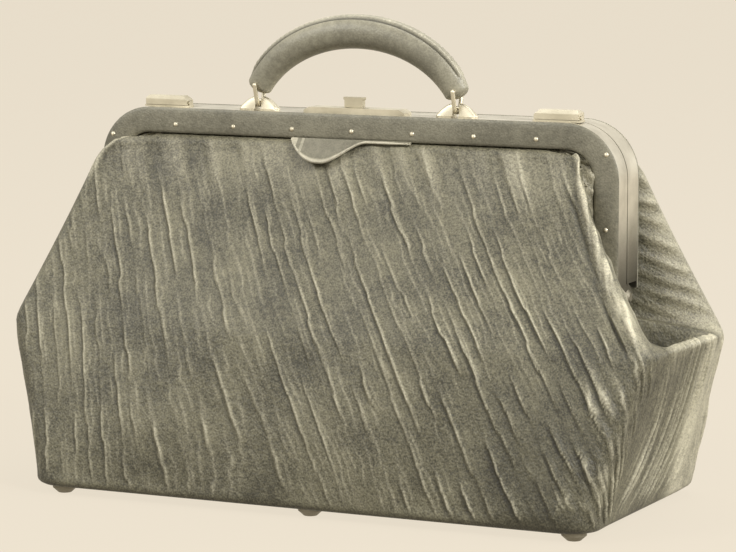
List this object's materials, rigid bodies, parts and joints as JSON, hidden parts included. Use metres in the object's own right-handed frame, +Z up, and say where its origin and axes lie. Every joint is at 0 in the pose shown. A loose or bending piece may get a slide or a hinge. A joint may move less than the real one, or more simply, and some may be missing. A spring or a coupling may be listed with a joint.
{
  "type": "leather frame travelling bag",
  "caption": "Grained leather travelling bag on a hinged U-shaped frame, with an arched top handle, sliding lock, slide catches and bottom nails.",
  "frame": {"origin": "middle of the bag on the floor that its bottom nails stand on", "axes": "+X along the frame to the right seen from the front, -Y towards the front with the pull tab, +Z up"},
  "size_m": [0.519, 0.2206, 0.3551],
  "materials": {
    "body_leather": "deeply grained, low sheen",
    "binding_leather": "smooth, low sheen",
    "handle_leather": "smooth, waxed",
    "brass": "pale polished",
    "frame_steel": "satin plated",
    "board": "plain board"
  },
  "bodies": {
    "bag": {"front_panel": "body_leather", "back_panel": "body_leather", "left_gusset": "body_leather", "right_gusset": "body_leather", "bottom_panel": "body_leather", "bottom_board": "board", "bottom_nails": "brass", "hinge_rivets": "brass"},
    "front_frame": {"front_jaw": "frame_steel", "front_lugs": "frame_steel", "front_binding": "binding_leather", "front_studs": "brass", "pull_tab": "binding_leather", "left_staple": "brass", "right_staple": "brass", "lock_plate": "brass", "lock_case": "frame_steel", "left_catch_rail": "brass", "right_catch_rail": "brass"},
    "back_frame": {"back_jaw": "frame_steel", "back_lugs": "frame_steel", "back_binding": "binding_leather", "back_studs": "brass", "lock_keeper": "frame_steel", "left_catch_stud": "brass", "right_catch_stud": "brass"},
    "handle": {"handle_grip": "handle_leather", "left_ring": "brass", "right_ring": "brass"},
    "lock_slide": {"lock_bolt": "frame_steel", "thumb_piece": "brass"},
    "left_catch": {"left_catch_slide": "brass"},
    "right_catch": {"right_catch_slide": "brass"}
  },
  "joints": [
    {"name": "front_jaw_open", "type": "hinge", "parent": "bag", "child": "front_frame", "pos_m": [0, 0, 0.158], "axis": [1, 0, 0], "range_deg": [0, 45], "deforming": ["front_panel", "left_gusset", "right_gusset"]},
    {"name": "back_jaw_open", "type": "hinge", "parent": "bag", "child": "back_frame", "pos_m": [0, 0, 0.158], "axis": [-1, 0, 0], "range_deg": [0, 45], "deforming": ["back_panel", "left_gusset", "right_gusset"]},
    {"name": "handle_swing", "type": "hinge", "parent": "front_frame", "child": "handle", "pos_m": [0, -0.0113, 0.2892], "axis": [1, 0, 0], "range_deg": [-70, 70]},
    {"name": "lock_travel", "type": "slide", "parent": "front_frame", "child": "lock_slide", "axis": [1, 0, 0], "range_m": [0, 0.008]},
    {"name": "left_catch_travel", "type": "slide", "parent": "front_frame", "child": "left_catch", "axis": [-1, 0, 0], "range_m": [0, 0.007]},
    {"name": "right_catch_travel", "type": "slide", "parent": "front_frame", "child": "right_catch", "axis": [1, 0, 0], "range_m": [0, 0.007]}
  ]
}
